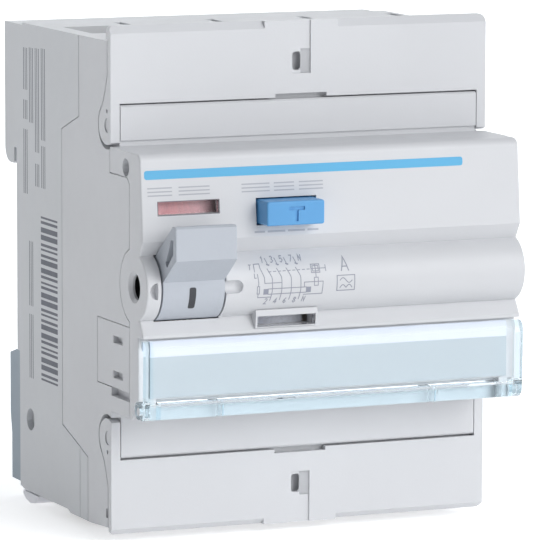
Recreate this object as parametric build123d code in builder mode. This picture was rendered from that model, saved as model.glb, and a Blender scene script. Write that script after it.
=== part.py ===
from build123d import *
import math
import os

os.makedirs("parts", exist_ok=True)

# ---------------------------------------------------------------------------
# Four-pole DIN-rail residual current device, millimetres.
# +X right, +Z up, the front faces -Y.  The origin is the middle of the rail
# seat: y = 0 is the face that rests on the rail, z = 0 is the rail's centre.
# Side outlines are given as (depth, height): depth is measured backwards from
# the front face of the terminal flaps.
# ---------------------------------------------------------------------------

# Driving dimensions
POLES = 4
MODULE = 17.5
HALF = POLES * MODULE / 2
FACE = -45.4
TOP = 40.3
BOTTOM = -43.4
NOSE = 22.5
REAR = 51.2
WALL = 1.8
INNER = HALF - WALL
SEAM = -8.45
RIB = 1.4

# Switch toggle and contact shaft
TOGGLE_AXIS = (-10.55, 0.0)
DRUM_R = 5.85
DRUM_X = (-32.1, -21.0)
COUPLING_R = 2.15
SOCKET_DEEP = 4.3
CRANK_R = 3.8
CRANK_ANGLE = -40.0
SHAFT_AXIS = (10.0, 10.0)
SHAFT_R = 3.2
LINK_X = (-20.5, -19.3)
LEVER_X = (-19.0, -17.6)
AXLE_POST_X = (-17.3, -15.5)
AXLE_R = 1.25

# Hinged covers and the fixed strips between them and the nose
STRIP_UP = 29.45
STRIP_DOWN = -30.8
SEAL_X = -0.6
SEAL_RISE = 9.9
FLAP_PIVOT_DEPTH = 1.75
FLAP_PIVOT_UP = 26.0
FLAP_PIVOT_DOWN = -27.4
FLAP_PIN_R = 1.15
FLAP_THICK = 1.4
ARM_X = 33.35
ARM_SWEEP_R = 4.1
COVER_AXIS = (-12.1, -20.8)
COVER_PIN_R = 0.7

# Test button and windows
BUTTON = (-14.0, -3.5, 10.1, 14.2)
BUTTON_FACE = -18.0
BUTTON_MIDDLE = (BUTTON[0] + BUTTON[1]) / 2
BUTTON_HEIGHT = (BUTTON[2] + BUTTON[3]) / 2
STATUS_WINDOW = (-32.0, -21.0, 12.3, 14.5)
TRIP_WINDOW = (-14.35, -3.65, -7.35, -5.5)

# Terminals
SCREW_UP = 33.1
SCREW_DOWN = -35.5
CAGE_HALF_HEIGHT = 4.9
CAGE_HALF_WIDTH = 5.6
CAGE_FRONT = 14.4
CAGE_BACK = 28.0
BAR_FRONT = 17.0
BAR_BACK = 18.6
SCREW_HEAD_R = 3.4
ACCESS_R = 2.9

# Toroid
TOROID = (0.0, 22.0, -14.0)
TOROID_OUT = 17.0
TOROID_IN = 9.5
TOROID_HEIGHT = 12.0

# Case screws: the posts stand at both sides, one pair high and one pair low
POST_X = 31.3
POST_Z = (2.0, -25.5)
POST_R = 2.2
SCREW_R = 1.15
SCREW_HOLE_R = 1.3

# Radial clearance of pins that turn in their holes
RUN = 0.06

# Soft radius of the moulded outer edges
EDGE_R = 0.3

SEAM_SIDE = [(14.85, TOP + 1), (14.85, 26.3), (23.1, 23.4), (23.1, -28.3), (14.7, -30.9),
             (11.0, -32.2), (11.0, BOTTOM - 1)]


def at(depth, height):
    """World (y, z) of a side-outline point."""
    return (FACE + depth, height)


def pole_x(pole):
    """Centre line of a pole, counted from the left."""
    return (pole - (POLES - 1) / 2) * MODULE


def block(x, depth, height, mode=Mode.ADD):
    """Box between pairs of x, depth and height."""
    middle = (sum(x) / 2, FACE + sum(depth) / 2, sum(height) / 2)
    with Locations(middle):
        Box(abs(x[1] - x[0]), abs(depth[1] - depth[0]), abs(height[1] - height[0]), mode=mode)


def rod_x(x, centre, radius, mode=Mode.ADD):
    """Cylinder along X, centred on a (depth, height) point."""
    with Locations(Location((sum(x) / 2, FACE + centre[0], centre[1]), (0, 90, 0))):
        Cylinder(radius, abs(x[1] - x[0]), mode=mode)


def rod_y(x, height, depth, radius, mode=Mode.ADD):
    """Cylinder along Y between two depths."""
    with Locations(Location((x, FACE + sum(depth) / 2, height), (90, 0, 0))):
        Cylinder(radius, abs(depth[1] - depth[0]), mode=mode)


def rod_z(x, depth, height, radius, mode=Mode.ADD):
    """Cylinder along Z between two heights."""
    with Locations((x, FACE + depth, sum(height) / 2)):
        Cylinder(radius, abs(height[1] - height[0]), mode=mode)


def prism(x, outline, mode=Mode.ADD):
    """Side outline of (depth, height) points carried from x[0] to x[1]."""
    with BuildSketch(Plane.YZ.offset(min(x))) as side:
        with BuildLine():
            Polyline([at(*point) for point in outline], close=True)
        make_face()
    extrude(side.sketch, amount=abs(x[1] - x[0]), mode=mode)


def both_sides(x):
    """The same x range on the left and on the right."""
    return [(-x[1], -x[0]), x]


def save(piece, name):
    """Label a finished piece and write its STEP file."""
    piece.part.label = name
    export_step(piece.part, f"parts/{name}.step")


def polar(centre, radius, degrees):
    """Point on a circle on a side plane; 0 degrees points backwards, 90 up."""
    angle = math.radians(degrees)
    return (centre[0] + radius * math.cos(angle), centre[1] + radius * math.sin(angle))


# ---------------------------------------------------------------------------
# Housing
# ---------------------------------------------------------------------------

def seam_groove():
    """Fine joint lines on both sides, cut alike from every shell that meets there."""
    for x in both_sides((HALF - 0.3, HALF + 0.1)):
        with BuildSketch(Plane.YZ.offset(x[0])) as lines:
            with BuildLine():
                Polyline([at(*point) for point in SEAM_SIDE])
            trace(line_width=0.24)
            with BuildLine():
                Polyline([at(0.45, NOSE + 0.2), at(0.45, 18.15), at(-7.4, 18.15), at(SEAM, 17.1),
                          at(SEAM, 6.15)])
            trace(line_width=0.2)
            with BuildLine():
                ThreePointArc(at(SEAM, 6.15), at(TOGGLE_AXIS[0] + 6.5, 0), at(SEAM, -6.15))
            trace(line_width=0.2)
            with BuildLine():
                Line(at(SEAM, -6.15), at(SEAM, -NOSE - 0.2))
            trace(line_width=0.2)
        extrude(lines.sketch, amount=0.4, mode=Mode.SUBTRACT)


def fascia_side_region(x, mode):
    """Part of each side wall that belongs to the front fascia: ear and hub disc."""
    prism(x, [(SEAM, 17.1), (-7.4, 18.15), (0.45, 18.15), (0.45, NOSE), (SEAM, NOSE)], mode)
    with BuildSketch(Plane.YZ.offset(min(x))) as disc:
        with Locations(at(*TOGGLE_AXIS)):
            Circle(6.5)
        with Locations(at(SEAM - 10, 0)):
            Rectangle(20, 30, mode=Mode.SUBTRACT)
    extrude(disc.sketch, amount=abs(x[1] - x[0]), mode=mode)


def flap_arm(x, pivot, sign, mode=Mode.ADD, gap=0.0):
    """Hinge arm of a flap; with a gap it is the recess the arm sits and swings in."""
    def p(depth, rise):
        return at(depth, pivot + sign * rise)

    with BuildSketch(Plane.YZ.offset(min(x))) as arm:
        with BuildLine():
            Polyline([p(0, -2.8), p(0, 8.3), p(FLAP_THICK, 8.3), p(3.1, 4.3), p(4.9, 1.9)])
            ThreePointArc(p(4.9, 1.9), p(5.55, 0.2), p(5.1, -1.6))
            ThreePointArc(p(5.1, -1.6), p(3.7, -2.85), p(1.75, -3.3))
            ThreePointArc(p(1.75, -3.3), p(0.8, -3.15), p(0, -2.8))
        make_face()
        if gap:
            offset(amount=gap)
            with Locations(p(FLAP_PIVOT_DEPTH, 0)):
                Circle(ARM_SWEEP_R)
    extrude(arm.sketch, amount=abs(x[1] - x[0]), mode=mode)


def middle_case():
    """Middle shell: side walls, shoulders behind the flaps and the floor of the nose."""
    with BuildPart() as case:
        prism((-HALF, HALF), [
            (14.85, TOP), (FLAP_THICK + 0.3, TOP), (FLAP_THICK + 0.3, STRIP_UP), (0, STRIP_UP),
            (0, NOSE), (SEAM, NOSE), (SEAM, -NOSE), (0, -NOSE), (0, STRIP_DOWN),
            (FLAP_THICK + 0.3, STRIP_DOWN), (FLAP_THICK + 0.3, -42.9), (9.5, BOTTOM), (11.0, BOTTOM),
            (11.0, -32.2), (14.7, -30.9), (23.1, -28.3), (23.1, 23.4), (14.85, 26.3)])
        prism((-INNER, INNER), [
            (SEAM - 1, 20.7), (3.3, 20.7), (3.3, 38.5), (24, 38.5), (24, -41.4), (3.5, -41.4),
            (3.5, -20.7), (SEAM - 1, -20.7)], Mode.SUBTRACT)
        block((-HALF, HALF), (SEAM - 1, 0.45), (20.7, NOSE + 1), Mode.SUBTRACT)
        for x in both_sides((INNER, HALF)):
            fascia_side_region(x, Mode.SUBTRACT)
        for x in both_sides((31.6, INNER)):
            block(x, (1.7, 8.0), (20.7, 38.5))
            block(x, (1.7, 8.0), (-41.4, -20.7))
        for pivot, sign in ((FLAP_PIVOT_UP, 1), (FLAP_PIVOT_DOWN, -1)):
            for x in both_sides((ARM_X - 0.15, HALF + 0.1)):
                flap_arm(x, pivot, sign, Mode.SUBTRACT, 0.3)
            for x in both_sides((ARM_X - 0.3, HALF - 0.2)):
                rod_x(x, (FLAP_PIVOT_DEPTH, pivot), FLAP_PIN_R)
        for height in (STRIP_UP, STRIP_DOWN):
            edge = case.edges().filter_by(Axis.X).filter_by(
                lambda e: abs(e.center().Z - height) < 0.05 and abs(e.center().Y - FACE) < 0.05)
            chamfer(edge, 0.3)
        for pole in range(POLES):
            for height in (SCREW_UP, SCREW_DOWN):
                rod_y(pole_x(pole), height, (0, 4.5), ACCESS_R, Mode.SUBTRACT)
        for pole in range(1, POLES):
            middle = (pole_x(pole - 1) + pole_x(pole)) / 2
            wall = (middle - RIB / 2, middle + RIB / 2)
            block(wall, (3.0, 14.85), (28.2, 38.8))
            block(wall, (3.0, 11.0), (-41.6, -32.2))
        # Pockets for the sealing wire behind the slots of the flaps
        for height in (FLAP_PIVOT_UP + SEAL_RISE, FLAP_PIVOT_DOWN - SEAL_RISE):
            block((SEAL_X - 1.4, SEAL_X + 1.6), (1.0, 2.8), (height - 2.1, height + 2.1),
                  Mode.SUBTRACT)
        # Bearings of the contact shaft
        for x in both_sides((31.5, INNER)):
            rod_x(x, SHAFT_AXIS, 4.2)
            rod_x((x[0] - 0.1, x[1] + 0.1), SHAFT_AXIS, 2.0 + RUN, Mode.SUBTRACT)
        # Post that carries the toggle's axle
        prism(AXLE_POST_X, [(SEAM, -21), (-2.0, -21), (-2.0, -12), (-8.0, 2.6), (-13.0, 2.6),
                            (-13.0, -2.6), (-10.8, -4.0), (-9.5, -8.0), (SEAM, -12)])
        rod_x((-18, -15), TOGGLE_AXIS, AXLE_R, Mode.SUBTRACT)
        # Screw posts
        for x in (-POST_X, POST_X):
            for height in POST_Z:
                rod_y(x, height, (6.3, 23.1), POST_R)
                rod_y(x, height, (10.0, 24.0), SCREW_R, Mode.SUBTRACT)
        # Rebate of the side knock-out cover, the slot under it and the flap latch notch
        block((-HALF - 1, -HALF + 1.25), (SEAM, 6.45), (-18.4, -7.0), Mode.SUBTRACT)
        block((-HALF - 1, -INNER + 1), (-6.4, 4.4), (-16.9, -8.5), Mode.SUBTRACT)
        block((-HALF - 1, -HALF + 1.2), (SEAM, -0.1), (-19.8, -18.3), Mode.SUBTRACT)
        block((-HALF - 1, -HALF + 1.2), (0.5, 2.6), (-41.3, -39.7), Mode.SUBTRACT)
        # Seat of the test button's spring, hung on two legs from the strip above
        block((-15.5, -1.5), (-4.2, -3.0), (4.0, 18.0))
        for leg in ((-15.5, -13.9), (-3.1, -1.5)):
            block(leg, (-4.2, 3.3), (17.0, 20.4))
            block(leg, (0.7, 3.3), (20.0, 21.5))
        rod_y(BUTTON_MIDDLE, BUTTON_HEIGHT, (-5, -2), 1.2, Mode.SUBTRACT)
        seam_groove()
    save(case, "middle_case")


def rear_base():
    """Rear shell: rail seat with its upper hook, wire entries and the clip's channel."""
    with BuildPart() as base:
        with BuildSketch(Plane.YZ.offset(-HALF)):
            with BuildLine():
                Polyline([at(42.4, 39.9), at(42.4, TOP), at(14.85, TOP), at(14.85, 26.3),
                          at(23.1, 23.4), at(23.1, -28.3), at(14.7, -30.9), at(11.0, -32.2),
                          at(11.0, BOTTOM), at(19.4, BOTTOM), at(20.6, -42.9), at(42.2, -42.9),
                          at(44.2, -42.5), at(44.2, -18.3), at(45.4, -18.3), at(45.4, 17.9),
                          at(46.6, 17.9), at(46.6, 15.3), at(46.9, 15.0), at(48.2, 15.0)])
                Spline([at(48.2, 15.0), at(50.4, 15.8), at(REAR, 17.6)])
                Polyline([at(REAR, 17.6), at(REAR, 39.9), at(42.4, 39.9)])
            make_face()
        extrude(amount=2 * HALF)
        block((-INNER, INNER), (9, 42.8), (-41.1, 38.5), Mode.SUBTRACT)
        block((-24, 24), (39.8, 44.2), (-43.0, -21.5))
        for pole in range(POLES):
            wide = (pole_x(pole) - 5.6, pole_x(pole) + 5.6)
            block(wide, (16.4, 30.6), (38, TOP + 1), Mode.SUBTRACT)
            block(wide, (16.4, 30.6), (BOTTOM - 1, -40.6), Mode.SUBTRACT)
            block((pole_x(pole) + 6.0, pole_x(pole) + 7.5), (29.5, 36.5), (39.3, TOP + 1),
                  Mode.SUBTRACT)
        for pole in range(1, POLES):
            middle = (pole_x(pole - 1) + pole_x(pole)) / 2
            wall = (middle - RIB / 2, middle + RIB / 2)
            block(wall, (14.85, 43), (28.2, 38.8))
            block(wall, (11.0, 40), (-41.4, -33.0))
        # Channel of the rail clip: wide behind, narrow at the mouth
        block((-21.0, 21.0), (41.6, 43.0), (-44, -24.5), Mode.SUBTRACT)
        block((-18.0, 18.0), (42.5, 45), (-44, -24.5), Mode.SUBTRACT)
        block((-2.6, 2.6), (41.6, 45), (-24.6, -19.6), Mode.SUBTRACT)
        # Case screws: posts, clearance holes and head recesses
        for x in (-POST_X, POST_X):
            for height in POST_Z:
                rod_y(x, height, (23.1, 43), POST_R)
                rod_y(x, height, (22, 46), SCREW_HOLE_R, Mode.SUBTRACT)
                rod_y(x, height, (42.8, 46), 2.35, Mode.SUBTRACT)
        # Round sockets low on the sides
        for x in both_sides((HALF - 1.2, HALF + 1)):
            rod_x(x, (38.9, -29.9), 1.95, Mode.SUBTRACT)
        for x in both_sides((HALF - 0.25, HALF + 0.1)):
            block(x, (14.65, 14.87), (BOTTOM - 1, -31.2), Mode.SUBTRACT)
        seam_groove()
    save(base, "rear_base")


def nose_fascia():
    """Front panel of the nose with its windows, the round bulge and the label pocket."""
    with BuildPart() as fascia:
        with BuildSketch(Plane.YZ.offset(-HALF)):
            with BuildLine():
                Line(at(SEAM, NOSE), at(-11.5, NOSE))
                ThreePointArc(at(-11.5, NOSE), at(-12.65, 22.05), at(-13.1, 20.9))
                Polyline([at(-13.1, 20.9), at(-14.3, 7.95), at(-12.75, 5.4)])
                ThreePointArc(at(-12.75, 5.4), at(-16.4, 0), at(-12.75, -5.4))
                Polyline([at(-12.75, -5.4), at(-14.25, -7.7), at(-14.3, -8.3), at(-12.3, -8.3),
                          at(-12.3, -NOSE), at(SEAM, -NOSE), at(SEAM, NOSE)])
            make_face()
        extrude(amount=2 * HALF)
        fillet(fascia.faces().filter_by(Axis.X).edges().filter_by(
            lambda e: e.center().Y < FACE - 11), EDGE_R)
        with BuildSketch(Plane.YZ.offset(-INNER)):
            with BuildLine():
                Polyline([at(SEAM + 1, 20.7), at(-11.3, 20.7), at(-12.75, 8.3), at(-11.3, 5.6),
                          at(-11.3, 4.23)])
                ThreePointArc(at(-11.3, 4.23), at(-14.85, 0), at(-11.3, -4.23))
                Polyline([at(-11.3, -4.23), at(-11.3, -5.6), at(-10.8, -6.9), at(-10.8, -17.0),
                          at(SEAM, -19.0), at(SEAM + 1, -19.0), at(SEAM + 1, 20.7)])
            make_face()
        extrude(amount=2 * INNER, mode=Mode.SUBTRACT)
        block((-HALF, HALF), (SEAM, 0.45), (20.7, NOSE))
        for x in both_sides((INNER, HALF)):
            fascia_side_region(x, Mode.ADD)
        # Solid end of the bulge beside the toggle, then the toggle's slot and coupling hole
        block((-INNER - 0.1, DRUM_X[0] - 0.35), (-14.2, -6.5), (-4.4, 4.4))
        rod_x((DRUM_X[0] - 0.35, DRUM_X[1] + 0.35), TOGGLE_AXIS, DRUM_R + 0.25, Mode.SUBTRACT)
        rod_x((-HALF - 1, DRUM_X[0]), TOGGLE_AXIS, COUPLING_R, Mode.SUBTRACT)
        with Locations(Location((-HALF, FACE + TOGGLE_AXIS[0], 0), (0, 90, 0))):
            Cone(COUPLING_R + 0.55, COUPLING_R, 0.6, align=(Align.CENTER, Align.CENTER, Align.MIN),
                 mode=Mode.SUBTRACT)
        # Sealing-wire grooves beside the toggle
        rod_x((DRUM_X[1] - 1, -18.8), (-16.5, 0), 1.15, Mode.SUBTRACT)
        with Locations((-18.8, FACE - 16.5, 0)):
            Sphere(1.15, mode=Mode.SUBTRACT)
        with Locations(Location((-HALF + 1.25, FACE - 16.3, -0.1), (0, 0, 90))):
            Sphere(1.45, arc_size3=180, mode=Mode.SUBTRACT)
        # Status window and button hole
        block(STATUS_WINDOW[:2], (-16, -11), STATUS_WINDOW[2:], Mode.SUBTRACT)
        block((BUTTON[0] - 0.3, BUTTON[1] + 0.3), (-16, -11), (BUTTON[2] - 0.25, BUTTON[3] + 0.25),
              Mode.SUBTRACT)
        # Hooded frame of the fault indicator window
        prism((TRIP_WINDOW[0] - 0.3, TRIP_WINDOW[1] + 0.3),
              [(-12.0, -4.45), (-14.75, -4.45), (-14.8, -5.4), (-14.5, -7.5), (-11.4, -7.5),
               (-11.4, -4.45)])
        block(TRIP_WINDOW[:2], (-16, -10), TRIP_WINDOW[2:], Mode.SUBTRACT)
        # Hinge gutter of the label cover with its end cheeks and pins
        rod_x((-31.9, 31.9), COVER_AXIS, 1.95, Mode.SUBTRACT)
        prism((-31.9, 31.9), [(-13, -20.8), (-10.15, -20.8), (-9.6, -NOSE - 1), (-13, -NOSE - 1)],
              Mode.SUBTRACT)
        for x in both_sides((31.9, HALF)):
            prism(x, [(-13, -22.35), (-12.3, -22.35), (-9.6, -22.35), (-9.6, -23), (-13, -23)],
                  Mode.SUBTRACT)
        for x in both_sides((33.55, HALF + 0.1)):
            rod_x(x, COVER_AXIS, 1.7, Mode.SUBTRACT)
            prism(x, [(-13, -20.8), (-10.4, -20.8), (-9.6, -23), (-13, -23)], Mode.SUBTRACT)
        for x in both_sides((33.4, HALF - 0.1)):
            rod_x(x, COVER_AXIS, COVER_PIN_R)
        # Accessory socket in the left ear, with a twin on the right
        for x in both_sides((HALF - 1.4, HALF + 1)):
            rod_x(x, (-6.86, 19.8), 1.5, Mode.SUBTRACT)
        seam_groove()
    save(fascia, "nose_fascia")


def side_knockout_cover():
    """Snap-in plate over the auxiliary contact opening on the left side."""
    with BuildPart() as plate:
        block((-HALF, -HALF + 1.2), (SEAM + 0.12, 6.33), (-18.28, -7.12))
        block((-HALF + 1.2, -INNER + 0.9), (-6.2, 4.2), (-16.7, -8.7))
        for height in (-10.0, -16.0):
            block((-HALF - 1, -HALF + 1.0), (-5.2, -0.9), (height - 0.6, height + 0.6),
                  Mode.SUBTRACT)
        chamfer(plate.edges().filter_by(GeomType.LINE).group_by(Axis.X)[0], 0.1)
    save(plate, "side_knockout_cover")


def terminal_flap(name, pivot, sign):
    """Hinged terminal cover: a plate with two hinge arms and a sealing slot."""
    def height(rise):
        return pivot + sign * rise

    notch_edge = 3.75
    outer = 16.9 if sign > 0 else 16.7
    inner_top = 15.9 if sign > 0 else 16.0
    with BuildPart() as flap:
        block((-HALF, HALF), (0, FLAP_THICK), (height(notch_edge), height(outer)))
        if sign > 0:
            block((-HALF, HALF), (0, 2.1), (height(14.6), height(outer)))
        chamfer(flap.edges().filter_by(Axis.X).filter_by(
            lambda e: abs(e.center().Z - height(outer)) < 0.1
            and abs(e.center().Y - FACE) < 0.1), length=1.05, length2=1.3)
        for x in both_sides((ARM_X, HALF)):
            flap_arm(x, pivot, sign)
            rod_x(x, (FLAP_PIVOT_DEPTH, pivot), FLAP_PIN_R + RUN, Mode.SUBTRACT)
            dot = (x[1] - 0.5, x[1] + 0.1) if x[1] > 0 else (x[0] - 0.1, x[0] + 0.5)
            rod_x(dot, (1.75, height(2.45)), 0.4, Mode.SUBTRACT)
        # Unchamfered middle with a thumb recess at the inner edge
        block((-6.8, 6.8), (0, FLAP_THICK), (height(inner_top - 0.9), height(outer)))
        prism((-4.8, 4.8), [(-0.5, height(3)), (3, height(3)), (3, height(4.4)),
                            (-0.5, height(4.4))], Mode.SUBTRACT)
        # Relief of the inner edge, which passes the strip as the flap swings
        prism((-ARM_X, ARM_X), [(FLAP_THICK - 0.4, height(notch_edge)),
                                (FLAP_THICK + 0.1, height(notch_edge - 0.1)),
                                (FLAP_THICK + 0.1, height(notch_edge + 0.5))], Mode.SUBTRACT)
        # Sealing slot: a recess that slopes into the slot, and a groove to the outer edge
        groove = (SEAL_X - 1.1, SEAL_X + 2.4)
        block(groove, (-1, 0.3), (height(SEAL_RISE - 2.1), height(outer + 1)), Mode.SUBTRACT)
        with BuildSketch(Plane.XY.offset(height(SEAL_RISE) - 2.1)):
            with BuildLine():
                Polyline([(SEAL_X + 0.6, FACE - 1), (groove[1], FACE - 1), (groove[1], FACE + 0.35),
                          (SEAL_X + 0.9, FACE + 1.2), (SEAL_X + 0.6, FACE + 1.2)], close=True)
            make_face()
        extrude(amount=4.2, mode=Mode.SUBTRACT)
        with BuildSketch(Plane.XZ.offset(-FACE + 0.1)):
            with Locations((SEAL_X, height(SEAL_RISE))):
                RectangleRounded(1.9, 3.2, 0.6)
        extrude(amount=-3, mode=Mode.SUBTRACT)
        corner = flap.edges().filter_by(Axis.Y).filter_by(
            lambda e: abs(e.center().Z - height(outer)) < 0.2 and abs(e.center().X) > HALF - 0.2)
        fillet(corner, 0.9)
    save(flap, name)


def label_cover():
    """Clear hinged cover over the label card."""
    with BuildPart() as cover:
        with BuildSketch(Plane.YZ.offset(-HALF + 0.05)):
            with BuildLine():
                Polyline([at(-13.6, -8.75), at(-14.5, -8.75)])
                ThreePointArc(at(-14.5, -8.75), at(-15.35, -9.3), at(-15.7, -10.4))
                Polyline([at(-15.7, -10.4), at(-15.45, -20.2)])
                ThreePointArc(at(-15.45, -20.2), at(-14.95, -21.6), at(-13.6, -22.2))
                Line(at(-13.6, -22.2), at(COVER_AXIS[0], -22.2))
                ThreePointArc(at(COVER_AXIS[0], -22.2), at(COVER_AXIS[0] + 1.4, -20.8),
                              at(COVER_AXIS[0], -19.4))
                Polyline([at(COVER_AXIS[0], -19.4), at(-13.4, -19.9), at(-14.2, -19.4),
                          at(-14.45, -10.9), at(-13.6, -9.9), at(-13.6, -8.75)])
            make_face()
        extrude(amount=2 * (HALF - 0.05))
        for x in both_sides((31.7, HALF)):
            block(x, (-13.9, -9), (-23, -18.5), Mode.SUBTRACT)
        for x in both_sides((33.7, HALF - 0.05)):
            prism(x, [(-14.8, -18.6), (-13.6, -19.4), (-12.1, -19.5), (-12.1, -22.1), (-14.2, -22.1),
                      (-15.0, -20.0)])
            rod_x(x, COVER_AXIS, 1.4)
            rod_x(x, COVER_AXIS, COVER_PIN_R + RUN, Mode.SUBTRACT)
        for x in (-20.4, 19.0):
            block((x - 0.15, x + 0.15), (-13.9, -10), (-23, -20.2), Mode.SUBTRACT)
        for x in (-20.4, 19.0):
            block((x - 0.15, x + 0.15), (-16, -15.2), (-20.6, -19.9), Mode.SUBTRACT)
    save(cover, "label_cover")


def label_card():
    """Slip of card behind the clear cover."""
    with BuildPart() as card:
        block((-33.1, 33.1), (-12.65, -12.35), (-18.6, -9.0))
    save(card, "label_card")


def case_screws():
    """Four screws that pull the rear base onto the middle case."""
    with BuildPart() as screws:
        for x in (-POST_X, POST_X):
            for height in POST_Z:
                rod_y(x, height, (12.0, 43.0), SCREW_R)
                rod_y(x, height, (42.85, 44.1), 2.2)
                block((x - 1.6, x + 1.6), (43.5, 44.4), (height - 0.3, height + 0.3), Mode.SUBTRACT)
                block((x - 0.3, x + 0.3), (43.5, 44.4), (height - 1.6, height + 1.6), Mode.SUBTRACT)
    save(screws, "case_screws")


# ---------------------------------------------------------------------------
# Rail clip
# ---------------------------------------------------------------------------

def rail_clip():
    """Sliding clip that hooks behind the lower flange of the rail."""
    with BuildPart() as clip:
        prism((-34.2, 34.2), [(44.5, -18.4), (48.0, -18.6), (REAR, -19.5), (REAR, -30.4),
                             (50.5, -34.1), (50.5, -42.2), (44.5, -42.2)])
        prism((-22.0, 22.0), [(46.6, -19.5), (46.6, -15.9), (46.9, -15.6), (50.3, -18.2),
                             (REAR, -20.0)])
        block((-17.8, 17.8), (43.1, 44.6), (-42.6, -28.2))
        block((-20.8, 20.8), (41.8, 42.85), (-42.6, -28.2))
        block((-17.8, 17.8), (42.8, 43.2), (-42.6, -28.2))
        block((-2.2, 2.2), (42.2, 44.6), (-28.3, -27.2))
        block((-16, 16), (49.3, REAR + 1), (-38, -26), Mode.SUBTRACT)
        for x in range(-14, 15, 7):
            block((x - 0.5, x + 0.5), (49.2, 50.3), (-38.2, -25.8))
    save(clip, "rail_clip")


def clip_pull_tabs():
    """Light tabs under the base that are pulled down to free the rail."""
    with BuildPart() as tabs:
        for side in (-1, 1):
            x = sorted((side * 30.6, side * 34.4))
            root = sorted((side * 26.0, side * 31.6))
            prism(x, [(36.8, -43.5), (44.4, -43.5), (44.4, -44.1), (43.0, -44.9), (40.8, -45.3),
                      (38.6, -45.0), (37.2, -44.4)])
            block(root, (43.7, 49.4), (-44.3, -42.9))
            block(root, (44.6, 49.4), (-43.0, -42.2))
    save(tabs, "clip_pull_tabs")


def coil(radius, wire, pitch, turns, plane):
    """Helical wire spring along the plane's normal."""
    path = Helix(pitch=pitch, height=pitch * turns, radius=radius)
    start = path @ 0
    tangent = path % 0
    with BuildPart() as spring:
        with BuildSketch(Plane(origin=start, z_dir=tangent)):
            Circle(wire)
        sweep(path=path, is_frenet=True)
    return plane * spring.part


def coil_piece(name, shapes):
    """Write one or more ready-made coils as a node."""
    with BuildPart() as piece:
        for shape in shapes:
            add(shape)
    save(piece, name)


def clip_spring():
    """Tension spring that draws the rail clip up against the rail."""
    plane = Plane(origin=(0, FACE + 43.1, -26.9), z_dir=(0, 0, 1))
    coil_piece("clip_spring", [coil(1.0, 0.22, 0.95, 7, plane)])


# ---------------------------------------------------------------------------
# Switch toggle, link and contact shaft
# ---------------------------------------------------------------------------

def toggle():
    """Drum with its finger lever, in the upper (closed) position."""
    with BuildPart() as part:
        rod_x(DRUM_X, TOGGLE_AXIS, DRUM_R)
        prism(DRUM_X, [(-21.7, 10.85), (-21.75, 5.5), (-16.15, 1.25), TOGGLE_AXIS, (-12.9, 5.1),
                       (-14.0, 6.5), (-20.1, 11.15), (-21.3, 11.2)])
        ends = part.faces().filter_by(Axis.X).edges().filter_by(
            lambda e: e.center().Z > 4 and e.center().Y < FACE - 14.5)
        fillet(ends, 0.3)
        prism((DRUM_X[0] - 0.1, DRUM_X[0] + 2.6),
              [(-20.7, 8.9), (-20.7, 6.6), (-17.9, 4.0), (-17.3, 4.9), (-18.6, 6.9), (-19.7, 8.9)],
              Mode.SUBTRACT)
        rod_x((DRUM_X[0] - 0.1, DRUM_X[0] + SOCKET_DEEP), TOGGLE_AXIS, COUPLING_R,
              Mode.SUBTRACT)
        rod_x((DRUM_X[0] + 5, DRUM_X[1] + 1), TOGGLE_AXIS, AXLE_R + RUN, Mode.SUBTRACT)
        crank = polar(TOGGLE_AXIS, CRANK_R, CRANK_ANGLE)
        rod_x((DRUM_X[1] - 0.1, LINK_X[1]), crank, 0.8)
    save(part, "toggle")


def toggle_axle():
    """Steel pin on which the drum turns."""
    with BuildPart() as pin:
        rod_x((DRUM_X[0] + 5.3, -12.4), TOGGLE_AXIS, AXLE_R)
    save(pin, "toggle_axle")


def toggle_spring():
    """Torsion spring on the end of the axle."""
    plane = Plane(origin=(-15.2, FACE + TOGGLE_AXIS[0], 0), z_dir=(1, 0, 0))
    coil_piece("toggle_spring", [coil(1.6, 0.2, 0.5, 5, plane)])


def drive_link():
    """Flat link from the drum's crank pin up to the slotted lever of the contact shaft."""
    lower = polar(TOGGLE_AXIS, CRANK_R, CRANK_ANGLE)
    upper = (lower[0] + 0.95, lower[1] + 10.05)
    with BuildPart() as link:
        rod_x(LINK_X, lower, 1.7)
        rod_x(LINK_X, upper, 1.5)
        prism(LINK_X, [(lower[0] - 1.2, lower[1]), (lower[0] + 1.2, lower[1]),
                       (upper[0] + 1.2, upper[1]), (upper[0] - 1.2, upper[1])])
        rod_x((LINK_X[0] - 1, LINK_X[1] + 1), lower, 0.8 + RUN, Mode.SUBTRACT)
        rod_x((LINK_X[1] - 0.1, LEVER_X[1] + 0.2), upper, 0.75)
    save(link, "drive_link")


def contact_shaft():
    """Moulded shaft that carries the four moving contacts, with its drive lever."""
    with BuildPart() as shaft:
        rod_x((-31.2, 31.2), SHAFT_AXIS, SHAFT_R)
        rod_x((-32.8, 32.8), SHAFT_AXIS, 2.0)
        prism(LEVER_X, [(11.5, 12.0), (10.0, 7.2), (-9.2, 5.2), (-9.2, 10.4), (4.0, 12.6)])
        with BuildSketch(Plane.YZ.offset(LEVER_X[0] - 0.5)):
            with Locations(at(-6.4, 7.6)):
                SlotCenterToCenter(2.2, 2.2, rotation=5)
        extrude(amount=3, mode=Mode.SUBTRACT)
        for pole in range(POLES):
            x = pole_x(pole)
            block((x - 3.55, x + 3.55), (8.95, 11.05), (7.0, 14), Mode.SUBTRACT)
    save(shaft, "contact_shaft")


def moving_contacts():
    """Copper contact arms, one for each pole."""
    with BuildPart() as arms:
        for pole in range(POLES):
            x = pole_x(pole)
            block((x - 3.5, x + 3.5), (9.0, 11.0), (7.1, 24.5))
    save(arms, "moving_contacts")


def contact_tips(name, depth):
    """Silver contact tips, one for each pole."""
    with BuildPart() as tips:
        for pole in range(POLES):
            rod_y(pole_x(pole), 21.9, depth, 2.2)
    save(tips, name)


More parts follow.
